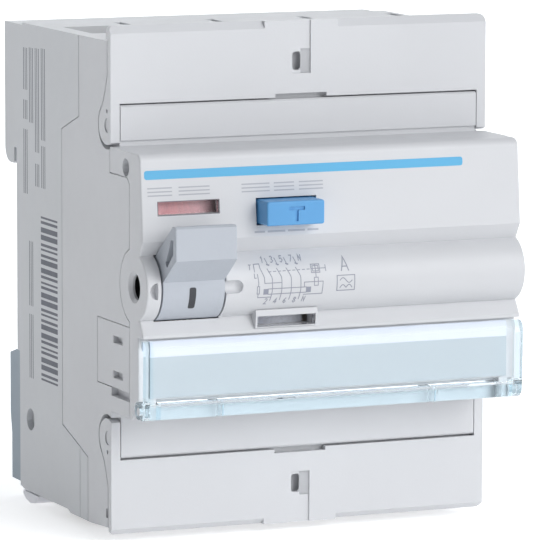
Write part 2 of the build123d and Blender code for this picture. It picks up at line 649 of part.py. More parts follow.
def contact_springs():
    """Springs that press the contact arms forward, seated on the shaft."""
    shapes = []
    for pole in range(POLES):
        x = pole_x(pole)
        start = x + 4.2 if x < 0 else x - 6.0
        plane = Plane(origin=(start, FACE + SHAFT_AXIS[0], SHAFT_AXIS[1]), z_dir=(1, 0, 0))
        shapes.append(coil(SHAFT_R + 0.5, 0.25, 0.6, 3, plane))
    coil_piece("contact_springs", shapes)


# ---------------------------------------------------------------------------
# Current path
# ---------------------------------------------------------------------------

def upper_terminal_bars():
    """Bent copper bars from the upper clamps down to the fixed contacts."""
    with BuildPart() as bars:
        for pole in range(POLES):
            x = pole_x(pole)
            prism((x - 4, x + 4), [(BAR_BACK, 37.6), (BAR_FRONT, 37.6), (BAR_FRONT, 27.0),
                                   (5.5, 27.0), (5.5, 19.4), (7.1, 19.4), (7.1, 25.4),
                                   (BAR_BACK, 25.4)])
    save(bars, "upper_terminal_bars")


def lower_terminal_bars():
    """Copper bars in the lower clamps."""
    with BuildPart() as bars:
        for pole in range(POLES):
            x = pole_x(pole)
            prism((x - 4, x + 4), [(BAR_FRONT, -40.0), (BAR_BACK, -40.0), (BAR_BACK, -28.6),
                                   (BAR_FRONT, -28.6)])
    save(bars, "lower_terminal_bars")


def conductor_route(pole):
    """Corner points of one insulated conductor through the toroid."""
    x = pole_x(pole)
    side = -1 if x < 0 else 1
    outer = abs(x) > MODULE
    inside_x = side * 3.8
    inside_depth = 25.8 if outer else 18.2
    return [(x, 26.0, 7.0), (x, 26.0, 0.0), (inside_x, inside_depth, -6.5),
            (inside_x, inside_depth, -21.5), (x, 17.8, -25.4), (x, 17.8, -28.6)]


def primary_conductors():
    """Insulated conductors of the four poles, threaded through the toroid."""
    with BuildPart() as wires:
        for pole in range(POLES):
            route = [(x, FACE + depth, z) for x, depth, z in conductor_route(pole)]
            with BuildLine() as path:
                FilletPolyline(*route, radius=1.4)
            with BuildSketch(Plane(origin=route[0], z_dir=(0, 0, -1))):
                Circle(1.7)
            sweep(path=path.line)
    save(wires, "primary_conductors")


def flexible_braids():
    """Short copper braids from the contact arms to the conductors."""
    with BuildPart() as braids:
        for pole in range(POLES):
            x = pole_x(pole)
            with BuildSketch(Plane.YZ.offset(x - 2.4)):
                with BuildLine() as middle:
                    Spline([at(11.6, 17.0), at(16.5, 14.5), at(21.0, 10.0), at(26.0, 7.6)])
                trace(line_width=1.1)
            extrude(amount=4.8)
    save(braids, "flexible_braids")


def terminal(pole, row, height):
    """Clamp screw and rising cage of one terminal."""
    x = pole_x(pole)
    with BuildPart() as screw:
        rod_y(x, height, (5.6, 8.1), SCREW_HEAD_R)
        rod_y(x, height, (8.0, 16.85), 2.3)
        block((x - 4, x + 4), (5.5, 6.8), (height - 0.55, height + 0.55), Mode.SUBTRACT)
        block((x - 0.55, x + 0.55), (5.5, 6.8), (height - 2.2, height + 2.2), Mode.SUBTRACT)
    save(screw, f"terminal_screw_{row}_{pole + 1}")
    with BuildPart() as cage:
        tall = (height - CAGE_HALF_HEIGHT, height + CAGE_HALF_HEIGHT)
        block((x - CAGE_HALF_WIDTH, x + CAGE_HALF_WIDTH), (CAGE_FRONT, CAGE_BACK), tall)
        block((x - 4.3, x + 4.3), (16.6, 26.6), (tall[0] - 1, tall[1] + 1), Mode.SUBTRACT)
        rod_y(x, height, (13, 17), 2.3 + RUN, Mode.SUBTRACT)
        chamfer(cage.edges().filter_by(Axis.Z).group_by(SortBy.DISTANCE)[-1], 0.6)
    save(cage, f"terminal_cage_{row}_{pole + 1}")


# ---------------------------------------------------------------------------
# Residual current sensing and tripping
# ---------------------------------------------------------------------------

def toroid_core():
    """Ring core in its moulded case."""
    with BuildPart() as core:
        with Locations((TOROID[0], FACE + TOROID[1], TOROID[2])):
            Cylinder(TOROID_OUT, TOROID_HEIGHT)
            Cylinder(TOROID_IN, TOROID_HEIGHT + 1, mode=Mode.SUBTRACT)
        fillet(core.edges().filter_by(GeomType.CIRCLE), 0.8)
    save(core, "toroid_core")


def sense_winding():
    """Secondary winding: loops of enamelled wire round one stretch of the ring."""
    loops = 14
    with BuildPart() as winding:
        for loop in range(loops):
            angle = 150 + loop * 60 / (loops - 1)
            frame = Plane(origin=(TOROID[0], FACE + TOROID[1], TOROID[2]),
                          x_dir=(math.cos(math.radians(angle)), math.sin(math.radians(angle)), 0),
                          z_dir=(-math.sin(math.radians(angle)), math.cos(math.radians(angle)), 0))
            middle = (TOROID_IN + TOROID_OUT) / 2
            size = TOROID_OUT - TOROID_IN
            with BuildSketch(frame.offset(-0.2)):
                with Locations((middle, 0)):
                    RectangleRounded(size + 1.0, TOROID_HEIGHT + 1.0, 0.9)
                    Rectangle(size + 0.1, TOROID_HEIGHT + 0.1, mode=Mode.SUBTRACT)
            extrude(amount=0.4)
    save(winding, "sense_winding")


def relay():
    """Trip relay: yoke, coil, hinged armature and its return spring."""
    with BuildPart() as yoke:
        block((13.0, 29.5), (3.0, 4.4), (-18.0, -5.0))
        block((13.0, 29.5), (-5.5, 3.0), (-18.0, -16.6))
        rod_z(21.2, -1.5, (-16.6, -6.2), 1.6)
    save(yoke, "relay_yoke")
    with BuildPart() as winding:
        rod_z(21.2, -1.5, (-16.5, -7.0), 3.9)
        rod_z(21.2, -1.5, (-17, -6), 1.65, Mode.SUBTRACT)
    save(winding, "relay_coil")
    with BuildPart() as armature:
        block((14.0, 28.5), (-6.6, 2.4), (-5.9, -4.9))
        rod_x((14.0, 28.5), (2.4, -5.4), 0.5)
        block((19.0, 23.4), (-7.6, -6.5), (-5.9, -2.6))
    save(armature, "relay_armature")
    plane = Plane(origin=(26.8, FACE + 1.2, -15.8), z_dir=(0, 0, 1))
    coil_piece("relay_spring", [coil(0.9, 0.15, 1.3, 7, plane)])


def trip_lever():
    """Lever between the relay and the latch of the toggle."""
    with BuildPart() as lever:
        rod_x((-16.2, 23.0), (-1.2, 0.4), 0.9)
        block((19.6, 22.8), (-6.1, -0.6), (0.0, 0.8))
        block((19.6, 22.8), (-6.9, -6.0), (-1.9, 0.8))
        block((-12.2, -10.8), (-8.2, -0.6), (0.0, 0.8))
        block((-12.2, -10.8), (-8.9, -7.9), (-2.2, 0.8))
    save(lever, "trip_lever")


def trip_flag():
    """Sliding fault flag behind its window: the plain half shows at rest."""
    with BuildPart() as flag:
        block((-14.6, -4.5), (-10.6, -9.9), (-7.7, -2.8))
        block((-12.0, -11.0), (-9.9, -9.3), (-4.2, -3.2))
    save(flag, "trip_flag")


def lens(name, window, depth):
    """Clear window pane."""
    with BuildPart() as pane:
        block((window[0] + 0.08, window[1] - 0.08), depth, (window[2] + 0.08, window[3] - 0.08))
        chamfer(pane.edges().filter_by(Axis.X).group_by(Axis.Y)[0], 0.12)
    save(pane, name)


def status_flag():
    """Sliding contact-position flag behind the status window."""
    with BuildPart() as flag:
        block((-32.4, -20.6), (-11.0, -10.3), (11.9, 18.4))
    save(flag, "status_flag")


def test_button():
    """Blue test button with a retaining flange and an engraved letter."""
    x = BUTTON[:2]
    z = BUTTON[2:]
    with BuildPart() as button:
        block(x, (BUTTON_FACE, -8.6), z)
        fillet(button.edges().filter_by(Axis.Y), 0.4)
        fillet(button.edges().group_by(Axis.Y)[0], 0.3)
        block((x[0] - 0.9, x[1] + 0.9), (-11.7, -10.6), (z[0] - 0.8, z[1] + 0.8))
        rod_y(BUTTON_MIDDLE, BUTTON_HEIGHT, (-9, -6.0), 0.9)
        with BuildSketch(Plane.XZ.offset(-(FACE + BUTTON_FACE) + 0.1)):
            with Locations((BUTTON_MIDDLE + 0.15, BUTTON_HEIGHT + 0.8)):
                Rectangle(2.9, 0.6)
            with Locations((BUTTON_MIDDLE + 0.15, BUTTON_HEIGHT - 0.3)):
                Rectangle(0.6, 2.2)
        extrude(amount=-0.4, mode=Mode.SUBTRACT)
    save(button, "test_button")


def test_spring():
    """Return spring of the test button."""
    plane = Plane(origin=(BUTTON_MIDDLE, FACE - 4.45, BUTTON_HEIGHT), z_dir=(0, -1, 0))
    coil_piece("test_spring", [coil(1.7, 0.2, 0.77, 5, plane)])


def test_circuit():
    """Test contact strip and the resistor that sets the test current."""
    with BuildPart() as strip:
        block((-12.4, -5.2), (-2.9, -2.5), (5.0, 16.0))
    save(strip, "test_contact_strip")
    with BuildPart() as resistor:
        rod_x((-12.0, -4.5), (0.2, 13.2), 1.6)
        for x, lead in ((-14.3, (-14.3, -12.0)), (-2.2, (-4.5, -2.2))):
            rod_x(lead, (0.2, 13.2), 0.35)
            rod_y(x, 13.2, (-3.0, 0.2), 0.35)
    save(resistor, "test_resistor")


def circuit_board():
    """Small board that tunes the relay, with its parts."""
    with BuildPart() as board:
        block((6.0, 31.5), (-6.4, -4.8), (2.6, 19.6))
    save(board, "circuit_board")
    with BuildPart() as parts:
        for x in (9.5, 13.5, 17.5):
            block((x - 0.9, x + 0.9), (-7.4, -6.4), (6.0, 9.4))
        for x in (22.0, 27.5):
            rod_y(x, 8.0, (-10.2, -6.4), 2.3)
        block((10.0, 17.0), (-8.2, -6.4), (12.5, 17.0))
        for x in (21.0, 24.0, 27.0):
            block((x - 0.8, x + 0.8), (-7.2, -6.4), (14.0, 16.4))
    save(parts, "board_components")


def main():
    middle_case()
    rear_base()
    nose_fascia()
    side_knockout_cover()
    terminal_flap("upper_terminal_flap", FLAP_PIVOT_UP, 1)
    terminal_flap("lower_terminal_flap", FLAP_PIVOT_DOWN, -1)
    label_cover()
    label_card()
    case_screws()
    rail_clip()
    clip_pull_tabs()
    clip_spring()
    toggle()
    toggle_axle()
    toggle_spring()
    drive_link()
    contact_shaft()
    moving_contacts()
    contact_tips("fixed_contact_tips", (7.1, 8.17))
    contact_tips("moving_contact_tips", (8.22, 9.0))
    contact_springs()
    upper_terminal_bars()
    lower_terminal_bars()
    primary_conductors()
    flexible_braids()
    for pole in range(POLES):
        terminal(pole, "upper", SCREW_UP)
        terminal(pole, "lower", SCREW_DOWN)
    toroid_core()
    sense_winding()
    relay()
    trip_lever()
    trip_flag()
    lens("trip_lens", TRIP_WINDOW, (-14.35, -13.5))
    lens("status_lens", STATUS_WINDOW, (-13.5, -12.7))
    status_flag()
    test_button()
    test_spring()
    test_circuit()
    circuit_board()


main()
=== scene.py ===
"""Looks of the residual current device: materials, printing, floor, light and camera."""
import math

import bmesh
import bpy
from mathutils import Matrix, Vector


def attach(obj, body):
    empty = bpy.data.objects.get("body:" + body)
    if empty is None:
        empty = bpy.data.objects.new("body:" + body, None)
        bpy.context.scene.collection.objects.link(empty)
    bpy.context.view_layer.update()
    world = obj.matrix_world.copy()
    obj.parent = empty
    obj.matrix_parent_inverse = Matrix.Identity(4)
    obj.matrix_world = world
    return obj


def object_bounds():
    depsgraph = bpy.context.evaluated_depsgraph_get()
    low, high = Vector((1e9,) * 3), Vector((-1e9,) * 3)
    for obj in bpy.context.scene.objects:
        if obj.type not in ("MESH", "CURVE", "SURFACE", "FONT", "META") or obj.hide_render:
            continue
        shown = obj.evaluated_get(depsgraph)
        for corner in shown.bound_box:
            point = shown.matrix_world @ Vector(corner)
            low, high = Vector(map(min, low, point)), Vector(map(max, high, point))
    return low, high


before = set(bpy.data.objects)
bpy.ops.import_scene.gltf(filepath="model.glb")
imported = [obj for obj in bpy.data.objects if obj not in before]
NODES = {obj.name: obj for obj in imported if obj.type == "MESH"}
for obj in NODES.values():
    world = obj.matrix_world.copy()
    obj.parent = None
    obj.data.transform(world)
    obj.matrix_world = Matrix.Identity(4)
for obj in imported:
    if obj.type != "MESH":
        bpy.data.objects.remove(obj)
CAD_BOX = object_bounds()

MM = 0.001

# Driving dimensions in millimetres: X to the right, Z up, depths counted backwards from the face
HALF = 35.0  # half the width of the case
FACE = -45.4  # y of the flaps' front face

# Front outline of the nose, as (depth, height): panel, then the round bulge
PANEL_TOP = (-13.1, 20.9)
PANEL_LOW = (-14.3, 7.95)
BULGE_AXIS = -10.58
BULGE_R = 5.82
BULGE_REACH = PANEL_LOW[1] - 2.5  # ink nearer to the axis than this height lies on the bulge

DRUM_AXIS = -10.55  # the toggle's drum
DRUM_R = 5.85
COUPLING_R = 2.2  # bore along the drum, for a coupling pin
EAR_BORE = (-HALF + 1.0, -31.0)  # its ends along X in the ear beside the drum
DRUM_BORE = (-33.0, -27.0)  # and in the drum
STATUS_SHADE_ENDS = (-32.0, -21.2)  # left and right ends of the colours on the flags, which carry painted shade towards the window's ends
TRIP_SHADE_ENDS = (-14.4, -4.0)
CARD_BAND_Z = -11.6  # the label card is paler above this height
COVER_PANE_X = 33.5  # the flat pane of the label cover ends here, to left and right
COVER_PANE_Z = -19.9  # and here, above its hinge bar


def linear(r, g, b):
    """Linear colour from 8-bit sRGB."""
    return tuple(((c / 255 + 0.055) / 1.055) ** 2.4 if c > 10 else c / 255 / 12.92
                 for c in (r, g, b)) + (1.0,)


def add_object(name, data):
    """New object in the scene."""
    thing = bpy.data.objects.new(name, data)
    bpy.context.scene.collection.objects.link(thing)
    return thing


# ---------------------------------------------------------------------------
# Materials
# ---------------------------------------------------------------------------

MIX_A, MIX_B, MIX_OUT = 6, 7, 2  # colour sockets of the Mix node
COARSE_GRAIN = 0.00004  # heights of surface grain, metres
FINE_GRAIN = 0.00003
PLASTIC_IOR = 1.46
CLEAR_IOR = 1.22  # low, so that clear pieces bend what lies behind them only a little
COLOUR_DRIFT = 0.03  # share by which the tone of a plastic varies
TARNISH = 0.72  # tone of tarnished metal against the clean one
DRAW_MARKS = 900  # noise scale of the fine marks on metal
# Almost black colour painted inside the coupling bores as shade
BORE_SHADE = (5, 5, 6)


class Graph:
    """Small helper that lays out one node material."""

    def __init__(self, name):
        self.material = bpy.data.materials.new(name)
        self.material.use_nodes = True
        self.tree = self.material.node_tree
        self.shader = self.tree.nodes["Principled BSDF"]
        self.where = self.node("ShaderNodeTexCoord").outputs["Object"]

    def node(self, kind, **inputs):
        """New node; each input is a value or another node's output."""
        made = self.tree.nodes.new(kind)
        for key, value in inputs.items():
            self.feed(made.inputs[key.replace("_", " ")], value)
        return made

    def feed(self, socket, value):
        if isinstance(value, bpy.types.NodeSocket):
            self.tree.links.new(value, socket)
        else:
            socket.default_value = value

    def set(self, **values):
        """Feeds inputs of the main shader."""
        for key, value in values.items():
            self.feed(self.shader.inputs[key.replace("_", " ")], value)

    def noise(self, scale, detail=2.0, stretch=None):
        """Noise over the object's own coordinates, in metres."""
        where = self.where
        if stretch:
            where = self.node("ShaderNodeMapping", Vector=where, Scale=stretch).outputs[0]
        return self.node("ShaderNodeTexNoise", Vector=where, Scale=scale, Detail=detail).outputs[0]

    def ramp(self, value, low, high, low_to=0.0, high_to=1.0):
        """Maps the range low to high onto low_to to high_to."""
        made = self.node("ShaderNodeMapRange", Value=value)
        made.inputs["From Min"].default_value = low
        made.inputs["From Max"].default_value = high
        made.inputs["To Min"].default_value = low_to
        made.inputs["To Max"].default_value = high_to
        return made.outputs[0]

    def mix(self, factor, a, b):
        made = self.node("ShaderNodeMix")
        made.data_type = "RGBA"
        self.feed(made.inputs["Factor"], factor)
        self.feed(made.inputs[MIX_A], a)
        self.feed(made.inputs[MIX_B], b)
        return made.outputs[MIX_OUT]

    def maths(self, operation, a, b=0.0):
        made = self.node("ShaderNodeMath")
        made.operation = operation
        self.feed(made.inputs[0], a)
        self.feed(made.inputs[1], b)
        return made.outputs[0]

    def axes(self):
        """The place on the object as separate x, y and z."""
        return self.node("ShaderNodeSeparateXYZ", Vector=self.where).outputs

    def bore(self, x_low, x_high, depth, radius):
        """1 inside a round bore along X, 0 outside it; millimetres."""
        x, y, z = self.axes()
        off = self.maths("SUBTRACT", y, (FACE + depth) * MM)
        square = self.maths("ADD", self.maths("MULTIPLY", off, off), self.maths("MULTIPLY", z, z))
        near = self.maths("LESS_THAN", square, (radius * MM) ** 2)
        low = self.maths("GREATER_THAN", x, x_low * MM)
        high = self.maths("LESS_THAN", x, x_high * MM)
        return self.maths("MULTIPLY", near, self.maths("MULTIPLY", low, high))

    def bump(self, height, strength, distance):
        made = self.node("ShaderNodeBump", Height=height, Strength=strength, Distance=distance)
        self.set(Normal=made.outputs[0])


def moulded(name, colour, rough=0.42, grain=0.25, scale=2600, bore=None):
    """Moulded thermoplastic with fine grain and a faint colour drift; inside a bore the colour is a
    painted dark shade.
    """
    g = Graph(name)
    base = linear(*colour)
    dark = tuple(c * (1 - COLOUR_DRIFT) for c in base[:3]) + (1.0,)
    tone = g.mix(g.ramp(g.noise(38, 3.0), 0.35, 0.65), dark, base)
    # Painted shade: the inside of the bore is coloured almost black, the way a deep hole looks in
    # shadow
    if bore:
        tone = g.mix(g.bore(*bore), tone, linear(*BORE_SHADE))
    g.set(Base_Color=tone,
          Roughness=g.ramp(g.noise(420, 4.0), 0.3, 0.7, rough - 0.05, rough + 0.06),
          IOR=PLASTIC_IOR)
    g.bump(g.noise(scale, 2.0), grain, COARSE_GRAIN)
    return g.material


def printed(name, colour, rough=0.45):
    """Printing ink, almost without grain."""
    return moulded(name, colour, rough=rough, grain=0.05)


def metal(name, colour, rough):
    """Bare or plated metal with fine marks and slight tarnish."""
    g = Graph(name)
    base = linear(*colour)
    dull = tuple(c * TARNISH for c in base[:3]) + (1.0,)
    g.set(Base_Color=g.mix(g.ramp(g.noise(160, 4.0), 0.3, 0.7), dull, base), Metallic=1.0,
          Roughness=g.ramp(g.noise(DRAW_MARKS, 4.0), 0.3, 0.7, rough - 0.1, rough + 0.12))
    g.bump(g.noise(DRAW_MARKS, 2.0), 0.2, FINE_GRAIN)
    return g.material


def clear(name, colour, rough=0.04, edge=None):
    """Clear moulded plastic that lets lamps through to what lies behind it."""
    g = Graph(name)
    tint = linear(*colour)
    if edge:
        # Deeper tint where the wall is seen edge on: both ends and the hinge bar
        x, _, z = g.axes()
        ends = g.maths("GREATER_THAN", g.maths("ABSOLUTE", x), COVER_PANE_X * MM)
        hinge = g.maths("LESS_THAN", z, COVER_PANE_Z * MM)
        tint = g.mix(g.maths("MAXIMUM", ends, hinge), tint, linear(*edge))
    g.set(Base_Color=tint, IOR=CLEAR_IOR, Transmission_Weight=1.0,
          Roughness=g.ramp(g.noise(240, 2.0), 0.3, 0.7, rough * 0.6, rough * 1.5))
    through = g.node("ShaderNodeBsdfTransparent", Color=linear(*colour))
    shadow = g.node("ShaderNodeLightPath").outputs["Is Shadow Ray"]
    both = g.node("ShaderNodeMixShader")
    g.feed(both.inputs[0], shadow)
    g.feed(both.inputs[1], g.shader.outputs[0])
    g.feed(both.inputs[2], through.outputs[0])
    g.feed(g.tree.nodes["Material Output"].inputs["Surface"], both.outputs[0])
    return g.material


def card(name, colour, band, band_z):
    """Matt card with faint paper fibres and a white band along its upper edge."""
    g = Graph(name)
    height = g.axes()[2]
    tone = g.mix(g.ramp(height, (band_z - 0.15) * MM, band_z * MM), linear(*colour), linear(*band))
    fibre = g.noise(900, 4.0, (1, 1, 5))
    g.set(Base_Color=g.mix(g.ramp(fibre, 0.3, 0.7, 0.0, 0.06), tone, linear(190, 196, 202)),
          Roughness=0.75)
    g.bump(fibre, 0.15, FINE_GRAIN)
    return g.material


def flag(name, shaded_stops, ends):
    """Coloured flag whose colour runs between two ends along X, with painted shade towards the
    window's ends; stops are evenly spaced.
    """
    g = Graph(name)
    along = g.ramp(g.axes()[0], ends[0] * MM, ends[1] * MM)
    ramp = g.node("ShaderNodeValToRGB", Fac=along)
    bands = ramp.color_ramp.elements
    while len(bands) < len(shaded_stops):
        bands.new(0.5)
    for i, colour in enumerate(shaded_stops):
        bands[i].position = i / (len(shaded_stops) - 1)
        bands[i].color = linear(*colour)
    speck = g.ramp(g.noise(1500, 3.0), 0.35, 0.7, 0.0, 0.25)
    g.set(Base_Color=g.mix(speck, ramp.outputs[0], linear(150, 140, 142)), Roughness=0.5)
    g.bump(g.noise(1800, 2.0), 0.2, FINE_GRAIN)
    return g.material


MATS = {
    "housing": moulded("housing_white", (212, 213, 216)),
    # The fascia and the toggle carry painted shade inside the coupling bore
    "fascia": moulded("fascia_white", (212, 213, 216), bore=(*EAR_BORE, DRUM_AXIS, COUPLING_R)),
    "base": moulded("base_white", (210, 212, 215)),
    "flap": moulded("flap_white", (213, 214, 217)),
    "toggle": moulded("toggle_grey", (187, 192, 200), rough=0.5, grain=0.6, scale=1500,
                      bore=(*DRUM_BORE, DRUM_AXIS, COUPLING_R)),
    "clip": moulded("clip_grey", (158, 171, 182), rough=0.5),
    "tabs": moulded("tab_white", (245, 245, 250), rough=0.4),
    "button": moulded("button_blue", (96, 163, 217), rough=0.4, grain=0.15),
    "inner": moulded("inner_dark", (46, 49, 54), rough=0.5),
    # Painted shade: the status flag darkens towards the right end of its window
    "red": flag("flag_red", [(234, 180, 184), (224, 160, 164), (230, 172, 176), (232, 184, 188),
                             (170, 130, 136)], STATUS_SHADE_ENDS),
    # Painted shade: the trip flag darkens towards both ends of its window and is lighter in the
    # middle
    "plain": flag("flag_grey_shaded", [(168, 172, 184), (190, 194, 206), (214, 218, 226), (206, 210, 218),
                                (176, 180, 190)], TRIP_SHADE_ENDS),
    "card": card("label_card", (187, 196, 202), (218, 222, 234), CARD_BAND_Z),
    "ink_blue": printed("ink_blue", (90, 176, 220), rough=0.35),
    "ink_grey": printed("ink_grey", (150, 153, 166)),
    "ink_pale": printed("ink_pale", (176, 178, 186)),
    "ink_rim": printed("ink_rim", (118, 114, 122)),
    "ink_dark": printed("ink_dark", (66, 67, 72)),
    "ink_side": printed("ink_side", (92, 96, 108)),
    "core": moulded("core_case", (214, 206, 176), rough=0.45),
    "insulation": moulded("insulation_blue", (70, 92, 150), rough=0.35, grain=0.1),
    "board": moulded("board_green", (34, 92, 58), rough=0.35, grain=0.4, scale=900),
    "parts": moulded("component_black", (38, 38, 40), rough=0.4),
    "resistor": moulded("resistor_body", (160, 186, 196), rough=0.35),
    "steel": metal("steel_plated", (186, 188, 192), 0.32),
    "spring": metal("spring_wire", (168, 170, 174), 0.3),
    "copper": metal("copper", (208, 138, 98), 0.34),
    "winding": metal("winding_copper", (176, 92, 52), 0.3),
    "silver": metal("silver", (218, 216, 208), 0.28),
    "clear": clear("clear_cover", (252, 254, 255), edge=(234, 247, 252)),
    "pane": clear("clear_pane", (250, 250, 251)),
}

LOOK = {
    "rear_base": "base", "middle_case": "housing", "nose_fascia": "fascia",
    "side_knockout_cover": "housing", "label_card": "card", "case_screws": "steel",
    "toggle_axle": "steel", "toggle_spring": "spring", "clip_spring": "spring",
    "fixed_contact_tips": "silver", "upper_terminal_bars": "copper",
    "lower_terminal_bars": "copper", "primary_conductors": "insulation",
    "flexible_braids": "copper", "toroid_core": "core", "sense_winding": "winding",
    "relay_yoke": "steel", "relay_coil": "winding", "relay_spring": "spring",
    "test_spring": "spring", "test_contact_strip": "copper", "test_resistor": "resistor",
    "circuit_board": "board", "board_components": "parts", "trip_lens": "pane",
    "status_lens": "pane", "toggle": "toggle", "drive_link": "steel",
    "contact_shaft": "inner", "moving_contacts": "copper", "moving_contact_tips": "silver",
    "contact_springs": "spring", "status_flag": "red", "upper_terminal_flap": "flap",
    "lower_terminal_flap": "flap", "label_cover": "clear", "test_button": "button",
    "rail_clip": "clip", "clip_pull_tabs": "tabs", "relay_armature": "steel",
    "trip_lever": "inner", "trip_flag": "plain",
}


def look_of(node):
    """Material of a CAD node; the terminals' screws and cages are all plated steel."""
    if node.startswith(("terminal_screw", "terminal_cage")):
        return MATS["steel"]
    return MATS[LOOK[node]]


for node_name, node_object in NODES.items():
    node_object.data.materials.clear()
    node_object.data.materials.append(look_of(node_name))

# ---------------------------------------------------------------------------
# Printing: thin ink solids on the surfaces, all generic
# ---------------------------------------------------------------------------

LIFT = 0.03  # how far the ink stands proud of the surface, millimetres
SINK = 0.03  # how far it reaches below
SIDE_SHARE = 0.3  # share of those two on the left side, which is a face of the object's box
RIM_SHARE = 0.7  # and at the window
CORNER_STEPS = 4  # straight pieces in each rounded corner of a bar


def rounded_rows(low, high, half, corner):
    """Rows of (place along a bar, half its width), with its four corners rounded."""
    rows = []
    for end, way in ((low, 1), (high, -1)):
        for i in range(CORNER_STEPS + 1):
            angle = math.pi / 2 * i / CORNER_STEPS
            rows.append((end + way * corner * (1 - math.sin(angle)),
                         half - corner * (1 - math.cos(angle))))
    return rows


def on_nose(x, z, lift):
    """World point on the front of the nose at x and height z."""
    if abs(z) < BULGE_REACH:
        rise = math.sqrt(BULGE_R ** 2 - z * z)
        depth, out = BULGE_AXIS - rise, (rise / BULGE_R, z / BULGE_R)
    else:
        run = PANEL_TOP[1] - PANEL_LOW[1]
        depth = PANEL_TOP[0] + (PANEL_TOP[1] - z) / run * (PANEL_LOW[0] - PANEL_TOP[0])
        out = (1.0, 0.0)
    return Vector((x, FACE + depth - out[0] * lift, z + out[1] * lift)) * MM


def on_drum(x, arc, lift):
    """World point on the toggle's drum; arc is the length round it, up from the front."""
    angle = arc / DRUM_R
    reach = DRUM_R + lift
    return Vector((x, FACE + DRUM_AXIS - reach * math.cos(angle), reach * math.sin(angle))) * MM


def on_left_side(depth, z, lift):
    """World point on the left side, where the ink stands about 0.01 mm proud of the case."""
    return Vector((-HALF - SIDE_SHARE * lift, FACE + depth, z)) * MM


class Ink:
    """One printed piece, built up from strokes and patches."""

    def __init__(self, place):
        self.place = place
        self.mesh = bmesh.new()

    def solid(self, left, right, closed=False):
        """Closed thin ribbon between two rows of (u, v) points."""
        rows = []
        for a, b in zip(left, right):
            rows.append([self.mesh.verts.new(self.place(*point, lift))
                         for point, lift in ((a, LIFT), (b, LIFT), (b, -SINK), (a, -SINK))])
        pairs = list(zip(rows, rows[1:]))
        if closed:
            pairs.append((rows[-1], rows[0]))
        for one, two in pairs:
            for i in range(4):
                j = (i + 1) % 4
                self.mesh.faces.new((one[i], one[j], two[j], two[i]))
        if not closed:
            self.mesh.faces.new(rows[0])
            self.mesh.faces.new(rows[-1][::-1])

    def stroke(self, points, width, closed=False, step=0.7):
        """Pen line through (u, v) points with mitred corners."""
        ends = points + points[:1] if closed else points
        fine = []
        for a, b in zip(ends, ends[1:]):
            parts = max(1, math.ceil(math.dist(a, b) / step))
            fine += [(a[0] + (b[0] - a[0]) * i / parts, a[1] + (b[1] - a[1]) * i / parts)
                     for i in range(parts)]
        if not closed:
            fine.append(points[-1])
        left, right = [], []
        for i, point in enumerate(fine):
            before = fine[i - 1] if i or closed else None
            after = fine[(i + 1) % len(fine)] if i + 1 < len(fine) or closed else None
            ways = [Vector((q[0] - p[0], q[1] - p[1])).normalized()
                    for p, q in ((before, point), (point, after)) if p and q]
            along = (ways[0] + ways[-1]).normalized()
            reach = width / 2 / max(0.4, along.dot(ways[0]))
            side = Vector((-along.y, along.x)) * reach
            left.append((point[0] + side.x, point[1] + side.y))
            right.append((point[0] - side.x, point[1] - side.y))
        self.solid(left, right, closed)

    def box(self, u0, v0, u1, v1, width):
        """Outline of a rectangle between two corners."""
        self.stroke([(u0, v0), (u1, v0), (u1, v1), (u0, v1)], width, closed=True)

    def bar(self, u0, u1, v, height, corner=0.0):
        """Filled bar; a corner radius rounds its ends."""
        if not corner:
            self.stroke([(u0, v), (u1, v)], height)
            return
        rows = sorted(rounded_rows(u0, u1, height / 2, corner))
        self.solid([(u, v + half) for u, half in rows], [(u, v - half) for u, half in rows])

    def post(self, u, v0, v1, width, corner):
        """Filled upright bar with rounded ends; the rows between them follow a curved surface."""
        inner = v1 - v0 - 2 * corner
        rows = rounded_rows(v0, v1, width / 2, corner)
        rows += [(v0 + corner + inner * i / 8, width / 2) for i in range(1, 8)]
        rows.sort()
        self.solid([(u - half, v) for v, half in rows], [(u + half, v) for v, half in rows])

    def glyph(self, name, u, v, height, width, slant=0.16):
        """Stroke character with its lower left corner at (u, v)."""
        for line in GLYPHS[name]:
            self.stroke([(u + (a + slant * b) * height, v + b * height) for a, b in line], width)

    def finish(self, name, material, body):
        """Turns the strokes into one piece that rides on a body."""
        bmesh.ops.recalc_face_normals(self.mesh, faces=self.mesh.faces)
        data = bpy.data.meshes.new(name)
        self.mesh.to_mesh(data)
        self.mesh.free()
        data.materials.append(MATS[material])
        thing = add_object(name, data)
        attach(thing, body)


# Stroke characters in a unit-high box
GLYPHS = {
    "1": [[(0.1, 0.75), (0.32, 1), (0.32, 0)]],
    "2": [[(0.05, 0.8), (0.15, 0.97), (0.4, 0.97), (0.5, 0.75), (0.05, 0), (0.55, 0)]],
    "3": [[(0.05, 0.9), (0.3, 1), (0.5, 0.8), (0.3, 0.55), (0.55, 0.28), (0.3, 0), (0.05, 0.1)]],
    "4": [[(0.42, 0), (0.42, 1), (0.02, 0.3), (0.58, 0.3)]],
    "5": [[(0.5, 1), (0.1, 1), (0.08, 0.56), (0.35, 0.62), (0.55, 0.33), (0.35, 0), (0.05, 0.08)]],
    "6": [[(0.45, 0.97), (0.15, 0.62), (0.05, 0.25), (0.3, 0), (0.52, 0.25), (0.32, 0.5),
           (0.1, 0.36)]],
    "7": [[(0.05, 1), (0.55, 1), (0.2, 0)]],
    "8": [[(0.3, 0.53), (0.08, 0.76), (0.3, 1), (0.5, 0.76), (0.3, 0.53), (0.04, 0.25), (0.3, 0),
           (0.56, 0.25), (0.34, 0.51)]],
    "N": [[(0.05, 0), (0.05, 1), (0.5, 0), (0.5, 1)]],
    "T": [[(0.0, 1), (0.6, 1)], [(0.3, 1), (0.3, 0)]],
    "A": [[(0, 0), (0.3, 1), (0.6, 0)], [(0.11, 0.33), (0.49, 0.33)]],
}


